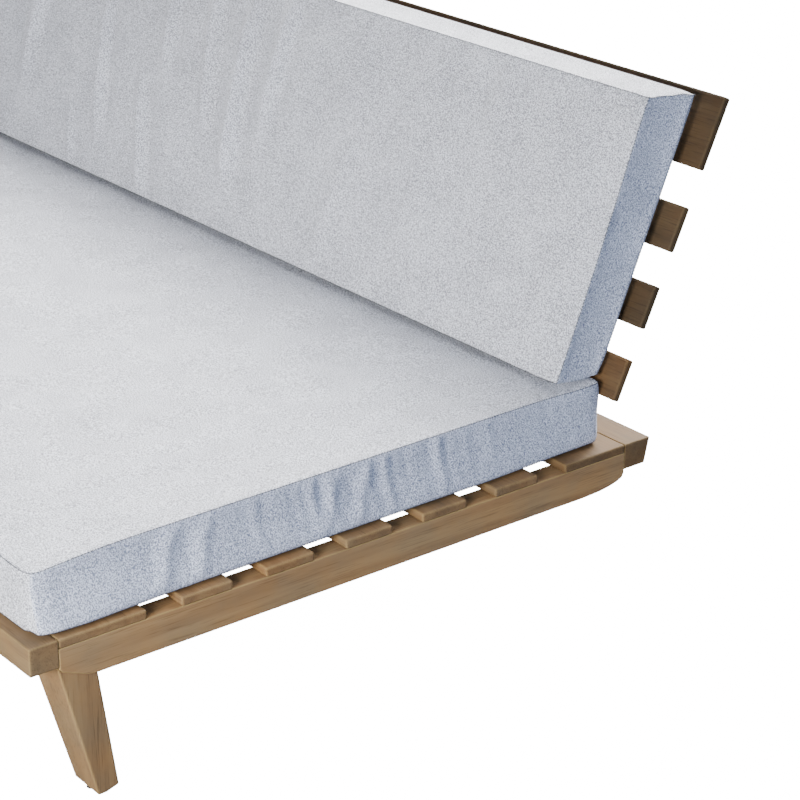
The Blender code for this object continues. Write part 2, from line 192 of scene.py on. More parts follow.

# %% [markdown]
# ## Washed acacia
# Acacia is a hard, brown, open-grained wood. Here it has a grey-brown wash: the pores stay dark,
# the wash greys the high spots, and a yellow tone along the edges is partly handling and partly
# a painted highlight, where the rounded edges catch the light. The grain is one solid pattern in
# object coordinates, long noise drawn out along the board, so a board's end shows the same rings
# end-on. Every board gets its own offset and tone, because no two boards in a real bed come from
# the same plank; some tones also hold painted shade.

# %% Acacia colours
DARK_BAND, MID_BAND, PALE_BAND, WASHED_BAND = "#775b3e", "#8d6d4a", "#a07f56", "#b09165"
GREY_WASH, WARM_WASH = "#8f7859", "#a57d51"
# Pale yellow for the edges: partly wear, partly painted highlight.
WORN_EDGE_AND_HIGHLIGHT = "#d3b273"

# %% Acacia material
GRAIN_WIDTH = 11 * MM       # one growth band
PORE_WIDTH = 1.1 * MM       # real pores are 0.2 mm, drawn wider so that they show
GRAIN_STRETCH = 22.0        # bands run this much longer than they are wide
EDGE_WEAR_AND_HIGHLIGHT_BAND = 3.0 * MM


def washed_acacia(name, turn, tone, draw):
    """turn brings the board's length onto the pattern's X; tone holds the board's own tint and its
    painted shade.
    """
    material, tree, shader = surface(name, Roughness=0.6, IOR=1.5)
    shader.inputs["Specular IOR Level"].default_value = 0.2     # an oiled, sanded surface
    place = put(tree, "ShaderNodeTexCoord").outputs["Object"]
    offset = [draw.uniform(-40, 40) for _ in range(3)]
    lie = put(tree, "ShaderNodeMapping", {"Vector": place, "Rotation": turn,
                                          "Location": offset}).outputs["Vector"]
    long_way = put(tree, "ShaderNodeVectorMath", {0: lie, 1: (1 / GRAIN_STRETCH, 1.0, 1.0)},
                   operation="MULTIPLY").outputs["Vector"]
    bands = put(tree, "ShaderNodeTexNoise",
                {"Vector": long_way, "Scale": 0.6 / GRAIN_WIDTH, "Detail": 5.0,
                 "Roughness": 0.62, "Distortion": 0.6}).outputs["Fac"]
    pore_way = put(tree, "ShaderNodeVectorMath", {0: lie, 1: (1 / 30.0, 1.0, 1.0)},
                   operation="MULTIPLY").outputs["Vector"]
    pores = put(tree, "ShaderNodeTexNoise",
                {"Vector": pore_way, "Scale": 0.7 / PORE_WIDTH, "Detail": 2.0}).outputs["Fac"]
    patches = put(tree, "ShaderNodeTexNoise",
                  {"Vector": lie, "Scale": 13.0, "Detail": 3.0}).outputs["Fac"]

    def toned(hex_colour):
        return [c * t for c, t in zip(linear(hex_colour)[:3], tone)] + [1.0]

    wood = put(tree, "ShaderNodeValToRGB", {"Fac": bands},
               [(0.30, toned(DARK_BAND)), (0.46, toned(MID_BAND)), (0.60, toned(PALE_BAND)),
                (0.80, toned(WASHED_BAND))]).outputs["Color"]
    wash = put(tree, "ShaderNodeValToRGB", {"Fac": patches},
               [(0.38, toned(GREY_WASH)), (0.64, toned(WARM_WASH))]).outputs["Color"]
    washed = put(tree, "ShaderNodeMix", {"Factor_Float": 0.5, "A_Color": wood, "B_Color": wash},
                 data_type="RGBA").outputs[2]
    dark_pores = put(tree, "ShaderNodeValToRGB", {"Fac": pores},
                     [(0.32, grey(0.60)), (0.45, grey(1.0))]).outputs["Color"]
    pored = put(tree, "ShaderNodeMix", {"Factor_Float": 0.7, "A_Color": washed,
                                        "B_Color": dark_pores},
                data_type="RGBA", blend_type="MULTIPLY").outputs[2]

    # Every edge is painted paler through a bevel mask broken by the patches: partly wear, partly
    # painted highlight.
    soft_corner = put(tree, "ShaderNodeBevel", {"Radius": EDGE_WEAR_AND_HIGHLIGHT_BAND}, samples=4)
    straight = put(tree, "ShaderNodeNewGeometry").outputs["True Normal"]
    turned = put(tree, "ShaderNodeVectorMath", {0: soft_corner.outputs["Normal"], 1: straight},
                 operation="DOT_PRODUCT").outputs["Value"]
    edge = put(tree, "ShaderNodeMapRange", {"Value": turned, "From Min": 0.995,
                                            "From Max": 0.90}).outputs["Result"]
    patchy = put(tree, "ShaderNodeMath", {0: edge, 1: patches},
                 operation="MULTIPLY").outputs["Value"]
    worn_and_highlit = put(tree, "ShaderNodeMix", {"Factor_Float": patchy, "A_Color": pored,
                                       "B_Color": toned(WORN_EDGE_AND_HIGHLIGHT)},
               data_type="RGBA").outputs[2]
    tree.links.new(worn_and_highlit, shader.inputs["Base Color"])

    gloss = put(tree, "ShaderNodeMapRange", {"Value": bands, "To Min": 0.55, "To Max": 0.75})
    tree.links.new(gloss.outputs["Result"], shader.inputs["Roughness"])
    relief = put(tree, "ShaderNodeMath", {0: bands, 1: pores}, operation="ADD").outputs["Value"]
    bump = put(tree, "ShaderNodeBump", {"Height": relief, "Strength": 0.35,
                                        "Distance": 0.35 * MM,
                                        "Normal": soft_corner.outputs["Normal"]})
    tree.links.new(bump.outputs["Normal"], shader.inputs["Normal"])
    return material


# %% Acacia on every board
QUARTER = math.radians(90)
ALONG_X = (0.0, 0.0, 0.0)
ALONG_Y = (0.0, 0.0, -QUARTER)
ALONG_Z = (0.0, QUARTER, 0.0)
planks = random.Random(7)


def board_direction(name):
    if name.startswith(("side_rail", "bearer")):
        return ALONG_Y
    if name.startswith(("leg", "back_stile")):
        return ALONG_Z
    return ALONG_X


# How light each kind of board is against the front end's side rail. The back slats are a darker
# wood, each a little different, and the lowest one is the reddest. The back slats, the rear rail
# and the rearmost seat slat are darkened further: painted shade for the shadow they stand in.
BOARD_TONES_AND_SHADE = {"front_rail": 0.60, "rear_rail": 0.44, "side_rail": 0.97, "bearer": 0.60,
               "seat_slat_7": 0.42, "seat_slat": 0.70, "back_slat_1": 0.32, "back_slat_2": 0.19,
               "back_slat_3": 0.26, "back_slat_4": 0.21, "back_stile": 0.30, "leg": 0.80}
REDDER = {"back_slat_1": 0.12, "leg": -0.01, "front_rail": -0.03}
boards = sorted(n for n in nodes if n.startswith(tuple(BOARD_TONES_AND_SHADE)))
for name in boards:
    kind = next(start for start in BOARD_TONES_AND_SHADE if name.startswith(start))
    # The shade factor holds each board's own tone and, for the boards named above, painted shade
    # too.
    shade = planks.uniform(0.95, 1.05) * BOARD_TONES_AND_SHADE[kind]
    warmth = planks.uniform(-0.02, 0.02) + REDDER.get(kind, 0.0)
    tone = (shade * (1 + warmth), shade, shade * (1 - warmth))
    finish = washed_acacia("washed_acacia_" + name, board_direction(name), tone, planks)
    nodes[name].data.materials.clear()
    nodes[name].data.materials.append(finish)
print(len(boards), "boards in washed acacia")

# %% [markdown]
# ## Bolts, glides and zip sliders
# The bolts and the sliders are zinc-plated steel: a soft, bright metal whose plating leaves a
# faint cloudiness. The foot glides are moulded black nylon.

# %% Zinc plate and nylon
def cloudy(tree, size, low, high):
    """A roughness that drifts between low and high over patches of that size."""
    place = put(tree, "ShaderNodeTexCoord").outputs["Object"]
    clouds = put(tree, "ShaderNodeTexNoise", {"Vector": place, "Scale": 1 / size, "Detail": 3.0})
    drift = put(tree, "ShaderNodeMapRange", {"Value": clouds.outputs["Fac"], "To Min": low,
                                             "To Max": high})
    return drift.outputs["Result"]


zinc_plate, zinc_tree, zinc_shader = surface("zinc_plated_steel", Metallic=1.0)
zinc_shader.inputs["Base Color"].default_value = linear("#b9bbba")
zinc_tree.links.new(cloudy(zinc_tree, 6 * MM, 0.24, 0.46), zinc_shader.inputs["Roughness"])

nylon, nylon_tree, nylon_shader = surface("moulded_black_nylon", IOR=1.53)
nylon_shader.inputs["Base Color"].default_value = linear("#1f1f21")
nylon_tree.links.new(cloudy(nylon_tree, 2 * MM, 0.45, 0.62), nylon_shader.inputs["Roughness"])

for name, node in nodes.items():
    if "bolt" in name or name.endswith("zip_slider"):
        node.data.materials.clear()
        node.data.materials.append(zinc_plate)
    if name.startswith("glide"):
        node.data.materials.clear()
        node.data.materials.append(nylon)
print("metal and nylon set")

# %% [markdown]
# ## Heathered canvas
# The covers are a light grey polyester canvas. Its yarn is spun from pale and dark fibres, so the
# colour is a fine salt and pepper, and its plain weave gives a matt, slightly fuzzy surface. The
# weave follows each cloth panel through a UV map in metres; the mottle is a solid noise. The end
# strips get a cooler, slightly darker copy of the canvas: painted cool shade for the shaded ends.

# %% Canvas material
THREAD = 1.7 * MM           # real threads are 0.6 mm apart, drawn coarser so that they show
FLECK = 1.6 * MM            # a light or dark fleck in the yarn, drawn as coarse as it shows


def heathered_canvas(name, pale, dark):
    material, tree, shader = surface(name, Roughness=0.92, IOR=1.46)
    shader.inputs["Sheen Weight"].default_value = 0.2
    shader.inputs["Sheen Roughness"].default_value = 0.5
    place = put(tree, "ShaderNodeTexCoord").outputs["Object"]
    flecks = put(tree, "ShaderNodeTexNoise", {"Vector": place, "Scale": 1 / FLECK,
                                              "Detail": 2.0, "Roughness": 0.7}).outputs["Fac"]
    mottle = put(tree, "ShaderNodeTexNoise", {"Vector": place, "Scale": 16.0,
                                              "Detail": 3.0}).outputs["Fac"]
    share = put(tree, "ShaderNodeMath", {0: mottle, 1: 0.08, 2: flecks},
                operation="MULTIPLY_ADD").outputs["Value"]
    yarn = put(tree, "ShaderNodeValToRGB", {"Fac": share},
               [(0.48, linear(dark)), (0.60, linear(pale))]).outputs["Color"]
    tree.links.new(yarn, shader.inputs["Base Color"])
    cloth = put(tree, "ShaderNodeUVMap", uv_map="cloth").outputs["UV"]
    ways = put(tree, "ShaderNodeSeparateXYZ", {"Vector": cloth})
    waves = []
    for way in ("X", "Y"):
        turn = put(tree, "ShaderNodeMath", {0: ways.outputs[way], 1: math.pi / THREAD},
                   operation="MULTIPLY").outputs["Value"]
        waves.append(put(tree, "ShaderNodeMath", {0: turn}, operation="SINE").outputs["Value"])
    weave = put(tree, "ShaderNodeMath", {0: waves[0], 1: waves[1]},
                operation="MULTIPLY").outputs["Value"]
    fuzz = put(tree, "ShaderNodeMath", {0: flecks, 1: 2.0, 2: weave},
               operation="MULTIPLY_ADD").outputs["Value"]
    bump = put(tree, "ShaderNodeBump", {"Height": fuzz, "Strength": 0.6, "Distance": 0.3 * MM})
    tree.links.new(bump.outputs["Normal"], shader.inputs["Normal"])
    return material


panel_canvas = heathered_canvas("heathered_canvas_panel", "#eff1f8", "#85868e")
# The end strips' canvas is cooler and a little darker than the panels': painted shade for the
# ends.
end_canvas_painted_shade = heathered_canvas("heathered_canvas_end_strip_painted_shade", "#e4e9f7", "#7c8296")
print("canvas threads are drawn", THREAD / MM, "mm apart")

# %% [markdown]
# ## Cushion blanks
# A boxed cushion is two big panels joined by a strip. The blank is a box of even quads that is
# sheared to the section of the cushion's own solid, so its panel edges lie where the seams go.
# Every point also keeps its place on the box, from 0 to 1 along, back and up, because the seams,
# puckers and creases are placed by it after the simulation.

# %% Blank builder
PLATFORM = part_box("seat_slat_3")[1].z
FRONT_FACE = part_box("front_rail")[0].y
# Corners of each cushion's section, as depth from the bed's front face and height over the
# slats: front low, rear low, rear high, front high.
SEAT_SECTION = ((0.017, 0.0004), (0.822, 0.0004), (0.846, 0.087), (0.017, 0.080))
BACK_SECTION = ((0.778, 0.0955), (0.850, 0.0883), (0.9987, 0.435), (0.9157, 0.444))


def in_frame(section):
    return [np.array((depth + FRONT_FACE, height + PLATFORM)) for depth, height in section]


def graded(count, ends):
    """Steps from 0 to 1, closer together at both ends; ends=0 gives even steps."""
    t = np.linspace(0, 1, count + 1)
    return t - ends * np.sin(2 * np.pi * t) / (2 * np.pi)


def blank(name, corners, half_length, counts, ends):
    """The box of quads with its panel UVs in metres and its places on the box."""
    steps = [graded(counts[0], ends), graded(counts[1], 0.0), graded(counts[2], 0.0)]
    front_low, rear_low, _, front_high = corners
    index, places, sides, faces = {}, [], [], []

    def point(i, j, k):
        if (i, j, k) not in index:
            index[i, j, k] = len(places)
            places.append((steps[0][i], steps[1][j], steps[2][k]))
        return index[i, j, k]

    for axis in range(3):
        a, b = [n for n in range(3) if n != axis]
        for fixed in (0, counts[axis]):
            for p in range(counts[a]):
                for q in range(counts[b]):
                    ring = []
                    for dp, dq in ((0, 0), (1, 0), (1, 1), (0, 1)):
                        spot = [0, 0, 0]
                        spot[axis], spot[a], spot[b] = fixed, p + dp, q + dq
                        ring.append(point(*spot))
                    faces.append(ring)
                    sides.append(axis)
    place = np.array(places)
    u, v, w = place.T
    weights = ((1 - v) * (1 - w), v * (1 - w), v * w, (1 - v) * w)
    section = sum(s[:, None] * c[None, :] for s, c in zip(weights, corners))
    verts = np.column_stack((half_length * (2 * u - 1), section))
    mesh = bpy.data.meshes.new(name)
    mesh.from_pydata(verts.tolist(), [], faces)
    mesh.attributes.new("box_place", "FLOAT_VECTOR", "POINT").data.foreach_set(
        "vector", place.astype(np.float32).ravel())
    across = np.linalg.norm(rear_low - front_low)
    tall = np.linalg.norm(front_high - front_low)
    metres = place * (2 * half_length, across, tall)
    cloth = mesh.uv_layers.new(name="cloth")
    for face, axis in zip(mesh.polygons, sides):
        a, b = [n for n in range(3) if n != axis]
        for loop in face.loop_indices:
            spot = metres[mesh.loops[loop].vertex_index]
            cloth.data[loop].uv = (spot[a], spot[b])
        # The end faces take the cooler canvas, which carries painted shade.
        face.material_index = 1 if axis == 0 else 0
        face.use_smooth = True
    mesh.materials.append(panel_canvas)
    mesh.materials.append(end_canvas_painted_shade)
    shape = bmesh.new()
    shape.from_mesh(mesh)
    bmesh.ops.recalc_face_normals(shape, faces=shape.faces)
    shape.to_mesh(mesh)
    shape.free()
    piece = bpy.data.objects.new(name, mesh)
    bpy.context.scene.collection.objects.link(piece)
    return piece


def coordinates(mesh):
    flat = np.zeros(len(mesh.vertices) * 3, np.float32)
    mesh.vertices.foreach_get("co", flat)
    return flat.reshape(-1, 3).astype(float)


def box_places(mesh):
    flat = np.zeros(len(mesh.vertices) * 3, np.float32)
    mesh.attributes["box_place"].data.foreach_get("vector", flat)
    return flat.reshape(-1, 3).astype(float)


def set_coordinates(mesh, points):
    mesh.vertices.foreach_set("co", points.astype(np.float32).ravel())
    mesh.update()


SEAT_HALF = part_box("seat_cushion_cover")[1].x
BACK_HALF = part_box("back_cushion_cover")[1].x
seat_corners = in_frame(SEAT_SECTION)
back_corners = in_frame(BACK_SECTION)
seat = blank("seat_cushion", seat_corners, SEAT_HALF, (136, 76, 8), 0.35)
back = blank("back_cushion", back_corners, BACK_HALF, (176, 8, 33), 0.0)
for piece in (seat, back):
    print(piece.name, len(piece.data.polygons), "quads")
for piece, cover in ((seat, "seat_cushion_cover"), (back, "back_cushion_cover")):
    points = coordinates(piece.data)
    misfit = np.abs([points.min(0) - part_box(cover)[0], points.max(0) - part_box(cover)[1]]).max()
    print(piece.name, "differs from its solid's box by", round(misfit / MM, 1), "mm at most")


# %% Round the seat's upright corners
UPRIGHT_ROUND = 8 * MM


def round_uprights(piece, front, rear, half_length, radius):
    """The seat's strip turns its four upright corners without a seam, so it is rounded."""
    points, place = coordinates(piece.data), box_places(piece.data)
    u, v, w = place.T
    on_end = (u < 1e-4) | (u > 1 - 1e-4)
    on_side = (v < 1e-4) | (v > 1 - 1e-4)
    from_end = half_length - np.abs(points[:, 0])
    near_front = v < 0.5
    from_side = np.where(near_front, points[:, 1] - front(w), rear(w) - points[:, 1])
    along = np.where(on_end, from_side, from_end)
    turn = math.radians(45) * np.clip(1 - along / radius, 0, 1)
    in_flat, in_turn = radius * (1 - np.cos(turn)), radius * (1 - np.sin(turn))
    moved = (on_end | on_side) & (along < radius)
    new_end = np.where(on_end, in_flat, in_turn)
    new_side = np.where(on_end, in_turn, in_flat)
    sign = np.where(u > 0.5, 1.0, -1.0)
    points[:, 0] = np.where(moved, sign * (half_length - new_end), points[:, 0])
    fresh_y = np.where(near_front, front(w) + new_side, rear(w) - new_side)
    points[:, 1] = np.where(moved, fresh_y, points[:, 1])
    set_coordinates(piece.data, points)


round_uprights(seat, lambda w: seat_corners[0][0] + 0 * w,
               lambda w: seat_corners[1][0] * (1 - w) + seat_corners[2][0] * w,
               SEAT_HALF, UPRIGHT_ROUND)

# %% [markdown]
# ## Stuffing
# The foam pushes the cover out until the cloth is tight. The Cloth simulation does that with air
# pressure and no gravity. Real foam stops the cover after a few millimetres, so each point's
# travel is eased to a limit: most on the big panels, little on the strip.

# %% Cloth simulation
PRESSURE = 4.0
FRAMES = 20
SEAM_HOLD = 28 * MM         # the tight seam holds the cloth back over about this distance


def from_seam(piece, panel_axis, size):
    """Each point's distance in metres, over the cloth, from the nearest seam of the panels."""
    share = box_places(piece.data)
    edge = np.minimum(share, 1 - share) * size
    on_panel = edge[:, panel_axis] < 1e-5
    others = [n for n in range(3) if n != panel_axis]
    return np.where(on_panel, edge[:, others].min(1), edge[:, panel_axis])


def stuff(piece, limits, panel_axis):
    """Swells the blank; limits are the most that a point may move along X, Y and Z."""
    start = coordinates(piece.data)
    cloth = piece.modifiers.new("stuffing", "CLOTH")
    cloth.settings.quality = 4
    cloth.settings.mass = 0.3
    cloth.settings.tension_stiffness = 25
    cloth.settings.compression_stiffness = 25
    cloth.settings.bending_stiffness = 0.6
    cloth.settings.use_pressure = True
    cloth.settings.uniform_pressure_force = PRESSURE
    cloth.settings.effector_weights.gravity = 0
    cloth.collision_settings.use_collision = False
    scene = bpy.context.scene
    for step in range(1, FRAMES + 1):
        scene.frame_set(step)
    swollen = piece.evaluated_get(bpy.context.evaluated_depsgraph_get())
    end = coordinates(swollen.data)
    piece.modifiers.remove(cloth)
    scene.frame_set(1)
    travel = end - start
    typical = np.percentile(np.abs(travel), 85, axis=0)
    capped = np.array(limits) * np.tanh(travel / typical)
    far = from_seam(piece, panel_axis, start.max(0) - start.min(0))
    capped *= (1 - np.exp(-(far / SEAM_HOLD) ** 2))[:, None]
    set_coordinates(piece.data, start + capped)
    print(piece.name, "moved up to", np.abs(travel).max(0).round(4), "m, kept to",
          np.abs(capped).max(0).round(4))


SEAT_SWELL = (4.0 * MM, 4.0 * MM, 10.0 * MM)
BACK_SWELL = (4.0 * MM, 9.0 * MM, 5.0 * MM)
stuff(seat, SEAT_SWELL, 2)
stuff(back, BACK_SWELL, 1)

# %% [markdown]
# ## Finer cloth
# One level of subdivision halves the quads and rounds the panel edges, as a turned seam does.
# A crease on the seam edges keeps them from going too soft.

# %% Subdivide
SEAM_CREASE = 0.55


def refine(piece, seam_axes):
    """seam_axes are the box axes whose two end panels are sewn all round."""
    mesh = piece.data
    place = box_places(mesh)
    limits = (place < 1e-4) | (place > 1 - 1e-4)
    crease = mesh.attributes.new("crease_edge", "FLOAT", "EDGE")
    for edge in mesh.edges:
        shared = limits[edge.vertices[0]] & limits[edge.vertices[1]]
        if shared.sum() >= 2 and shared[list(seam_axes)].any():
            crease.data[edge.index].value = SEAM_CREASE
    smooth = piece.modifiers.new("finer", "SUBSURF")
    smooth.levels = smooth.render_levels = 1
    depsgraph = bpy.context.evaluated_depsgraph_get()
    finer = bpy.data.meshes.new_from_object(piece.evaluated_get(depsgraph))
    piece.modifiers.remove(smooth)
    piece.data = finer
    print(piece.name, "now has", len(finer.polygons), "quads")


refine(seat, (2,))
refine(back, (0, 1))

# %% [markdown]
# ## Puckers and creases
# Sewing gathers the strip a little, so it stands in small puckers that fade away from the seam.
# The back cushion's big panel has long soft creases, where the cover is looser than its foam.
# They are too fine and too particular for the simulation, so they are added to its result: rows
# of puckers as a sum of a few waves with a fixed seed, and larger folds and creases one by one.

# %% Waves and fades
def gathers(t, seed, lengths):
    """A smooth irregular wave along t, the same every run, about -1 to 1."""
    draw = np.random.default_rng(seed)
    total = sum(np.sin(2 * np.pi * t / (length * draw.uniform(0.85, 1.15))
                       + draw.uniform(0, 2 * np.pi)) for length in lengths)
    return total / len(lengths)


def fade(x, start, end):
    """0 before start, 1 after end, smooth between."""
    t = np.clip((x - start) / (end - start), 0, 1)
    return t * t * (3 - 2 * t)


def inside(share, margin):
    """1 on a strip's face and 0 at its two seams."""
    return fade(share, 0, margin) * fade(1 - share, 0, margin)


# %% Puckers on the seat
SAG_DEPTHS = (0.00, 0.04, 0.08, 0.18, 0.30, 0.50, 0.66, 0.83)
SAG_OUT_MM = (8.0, 17.0, 19.0, 14.0, 12.0, 10.0, 9.0, 1.0)
EDGE_LIFT = 3.5 * MM        # the bottom seam is drawn up, so a dark line shows under the strip
LIFT_REACH = 20 * MM
PUCKER_WAVES = (0.029, 0.023, 0.041)
PUCKER_HEIGHT = 4.8 * MM
PUCKER_LEAN = 0.16          # the small puckers lean this much as they rise, the folds below more
FOLD_LEAN = 0.30
# The larger folds on the end strip: place along the depth, half width and height in mm.
END_FOLDS = ((0.175, 11, 5.5), (0.225, 10, 4.6), (0.405, 7, 3.6), (0.452, 7, 4.2))
REAR_FLARE = 4 * MM
SIDE_PUCKER = 1.8 * MM
CORNER_DROP = 7 * MM
TOP_WAVE = 0.9 * MM


def pucker_seat(piece):
    points, place = coordinates(piece.data), box_places(piece.data)
    u, v, w = place.T
    depth = points[:, 1] - FRONT_FACE
    for side in (0, 1):
        strip = np.abs(u - side) < 1e-4
        sag = np.interp(depth, SAG_DEPTHS, SAG_OUT_MM) * MM
        low = 1 - fade(w, 0.0, 0.95)
        t = depth + PUCKER_LEAN * points[:, 2]
        fine = np.clip(gathers(t, 11 + side, PUCKER_WAVES), -0.3, 1.0)
        busy = 0.25 + 0.75 * fade(depth, 0.26, 0.42) * fade(0.70 - depth, 0.0, 0.16)
        folds = PUCKER_HEIGHT * fine * busy * (0.35 + 0.65 * w) * inside(w, 0.14)
        for start, width, height in END_FOLDS:
            off = depth - start - FOLD_LEAN * (points[:, 2] - PLATFORM)
            folds += height * MM * np.exp(-(off / (width * MM)) ** 2) * inside(w, 0.25)
        flare = REAR_FLARE * fade(depth, 0.74, 0.82) * w
        points[:, 0] += (2 * side - 1) * strip * (sag * low + folds + flare)
    for side in (0, 1):
        strip = np.abs(v - side) < 1e-4
        fine = np.clip(gathers(points[:, 0], 21 + side, (0.047, 0.033, 0.085)), -0.3, 1.0)
        points[:, 1] += strip * (2 * side - 1) * SIDE_PUCKER * fine * inside(w, 0.16)
    from_end = SEAT_HALF * 2 * np.minimum(u, 1 - u)
    from_edge = np.minimum(from_end, np.maximum(depth, 0))
    points[:, 2] += EDGE_LIFT * (1 - fade(from_edge, 0, LIFT_REACH)) * (1 - w) ** 3
    corner = np.exp(-(from_end / 0.10) ** 2 - (depth / 0.08) ** 2)
    points[:, 2] -= CORNER_DROP * corner * w
    top = np.abs(w - 1) < 1e-4
    slow = gathers(points[:, 0] + 0.4 * points[:, 1], 27, (0.31, 0.23))
    slow += gathers(points[:, 1] - 0.2 * points[:, 0], 28, (0.27, 0.19))
    points[:, 2] += top * TOP_WAVE * slow * inside(u, 0.05) * inside(v, 0.1)
    set_coordinates(piece.data, points)


pucker_seat(seat)

# %% Creases on the back
# Each crease on the big panel: place along X at mid height, lean along X from bottom to top,
# ridge height and half width in mm, and the shares of the panel's height that it spans.
CREASES = ((-0.205, -0.110, 3.4, 11, 0.20, 0.72), (-0.090, -0.135, 3.0, 12, 0.00, 0.45),
           (-0.030, -0.100, 2.8, 12, 0.55, 0.90), (0.085, -0.115, 3.6, 13, 0.38, 0.88),
           (0.162, -0.060, 4.4, 14, 0.22, 0.86), (0.232, -0.020, 3.0, 14, 0.48, 0.95),
           (-0.300, -0.150, 2.4, 9, 0.00, 0.20), (0.660, 0.008, -1.8, 18, 0.78, 1.00),
           (-0.420, -0.040, 2.8, 15, 0.30, 0.90), (-0.610, 0.055, 3.2, 13, 0.15, 0.75),
           (-0.780, 0.090, 2.4, 12, 0.35, 1.00), (0.440, 0.040, 1.4, 20, 0.00, 0.45))

CREASE_GAIN = 2.8           # the light is so soft that the creases are drawn this much deeper
PANEL_WAVE = 1.6 * MM
TOP_PUCKER = 2.2 * MM
END_WAVE = 1.6 * MM


def crease_back(piece):
    points, place = coordinates(piece.data), box_places(piece.data)
    u, v, w = place.T
    front = np.abs(v) < 1e-4
    raised = np.zeros(len(points))
    for x, lean, height, width, low, high in CREASES:
        off = points[:, 0] - x - lean * (w - 0.5)
        span = fade(w, low - 0.12, low + 0.12) * fade(1 - w, 1 - high - 0.12, 1 - high + 0.12)
        ridge = np.exp(-(off / (width * MM)) ** 2)
        trough = np.exp(-((off - 1.9 * width * MM) / (1.3 * width * MM)) ** 2)
        raised += CREASE_GAIN * height * MM * (ridge - 0.45 * trough) * span
    slow = gathers(points[:, 0] + 0.3 * points[:, 2], 33, (0.21, 0.13))
    raised += PANEL_WAVE * slow * inside(w, 0.2)
    raised *= inside(w, 0.07)
    points[:, 1] -= front * raised
    points[:, 2] += front * raised * 0.4
    top = np.abs(w - 1) < 1e-4
    diagonal = points[:, 0] + 0.9 * points[:, 1]
    ripple = gathers(diagonal, 31, (0.056, 0.037, 0.075))
    points[:, 2] += top * TOP_PUCKER * ripple * inside(v, 0.2)
    for side in (0, 1):
        strip = np.abs(u - side) < 1e-4
        soft = gathers(points[:, 2] + 0.6 * points[:, 1], 41 + side, (0.15, 0.09))
        reach = inside(v, 0.2) * inside(w, 0.08)
        points[:, 0] += strip * (2 * side - 1) * END_WAVE * soft * reach
    set_coordinates(piece.data, points)


crease_back(back)


# %% Soft corners
def soften_corner(piece, corner, pull, radius):
    """Draws a corner in towards the cushion's middle: a sewn corner never fills out."""
    points, place = coordinates(piece.data), box_places(piece.data)
    tip = points[np.abs(place - corner).sum(1).argmin()]
    inwards = points.mean(0) - tip
    inwards[0] = np.sign(inwards[0]) * np.abs(inwards[1:]).mean()
    inwards /= np.linalg.norm(inwards)
    near = np.exp(-(np.linalg.norm(points - tip, axis=1) / radius) ** 2)
    set_coordinates(piece.data, points + inwards * pull * near[:, None])


# Which corner is drawn in, as its place back and up, and by how many mm over what radius.
SOFT_CORNERS = ((seat, 1, 1, 3, 18), (seat, 0, 1, 3, 16), (back, 0, 0, 2, 16),
                (back, 1, 0, 4, 18), (back, 1, 1, 2, 14))
for u_side in (0, 1):
    for piece, v_side, w_side, pull, radius in SOFT_CORNERS:
        soften_corner(piece, (u_side, v_side, w_side), pull * MM, radius * MM)
print("corners softened")

# %% [markdown]
# ## At rest
# A cushion is flat only where it rests on something: underneath, behind, and where the back
# cushion stands on the seat. Its points are held short of the slats and of the other cushion, so
# that nothing meets. At both ends, past the uprights, the seat's rear strip hangs out freely.

# %% Press the cushions against what they touch
LEAN = next(j for j in frame["joints"] if j["name"] == "back_cushion_lift")["axis"]
REST_GAP = 0.5 * MM
SLACK = 0.6 * MM            # the seat's top stops this far under the back cushion
REAR_INSET = 0.4 * MM       # the cloth lies this far inside the zip's outer face
SLAT_FACE = 0.848           # depth where the lowest back slat would be met
FREE_TOP, FREE_FOOT = 5 * MM, 22 * MM    # how far the free strip swings back, at top and foot
FOOT_BAND = 12 * MM         # points of the back cushion this low count as its foot
PRESS_START, PRESS_END = 12 * MM, 3 * MM    # the press begins in front of the contact line
STILE_REACH = max(abs(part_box("back_stile_right")[1].x), abs(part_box("back_stile_left")[0].x))


def ceiling(y):
    """Where the seat's top must stop under the back cushion's bottom panel."""
    (front, front_height), (rear, rear_height) = BACK_SECTION[:2]
    heights = np.interp(y - FRONT_FACE, (front, rear), (front_height, rear_height))
    return PLATFORM + heights - SLACK


def press_rear(piece, corners, straight):
    """Keeps the rear strip flat, so that the zip lies on it. straight is where it must be."""
    points, place = coordinates(piece.data), box_places(piece.data)
    low, high = corners[1], corners[2]
    along = (high - low) / np.linalg.norm(high - low)
    outwards = np.array((along[1], -along[0]))
    reach = (points[:, 1:] - low) @ outwards
    kept = np.minimum(reach, -REAR_INSET)
    rear = straight(points) * (place[:, 1] > 0.5)
    points[:, 1:] += ((kept - reach) * rear)[:, None] * outwards
    set_coordinates(piece.data, points)


FREE_END = 0.28             # the strip swings out over about this length past the uprights


def near_uprights(points):
    """1 between the uprights and a little past them, 0 near the ends."""
    return fade(STILE_REACH + FREE_END - np.abs(points[:, 0]), 0.0, FREE_END - 0.04)


def rest_seat(piece):
    press_rear(piece, seat_corners, near_uprights)
    points, place = coordinates(piece.data), box_places(piece.data)
    rear = fade(place[:, 1], 0.93, 1.0) * (1 - near_uprights(points))
    points[:, 1] += rear * (FREE_TOP + FREE_FOOT * (1 - place[:, 2]))
    points[:, 1] = np.minimum(points[:, 1], FRONT_FACE + SLAT_FACE)
    points[:, 2] = np.maximum(points[:, 2], PLATFORM + REST_GAP)
    foot = coordinates(back.data)
    foot = foot[foot[:, 2] < ceiling(foot[:, 1]) + FOOT_BAND]
    contact = foot[:, 1].min()
    under = fade(points[:, 1], contact - PRESS_START, contact + PRESS_END)
    pressed = np.minimum(points[:, 2], ceiling(points[:, 1]))
    points[:, 2] += (pressed - points[:, 2]) * under
    set_coordinates(piece.data, points)


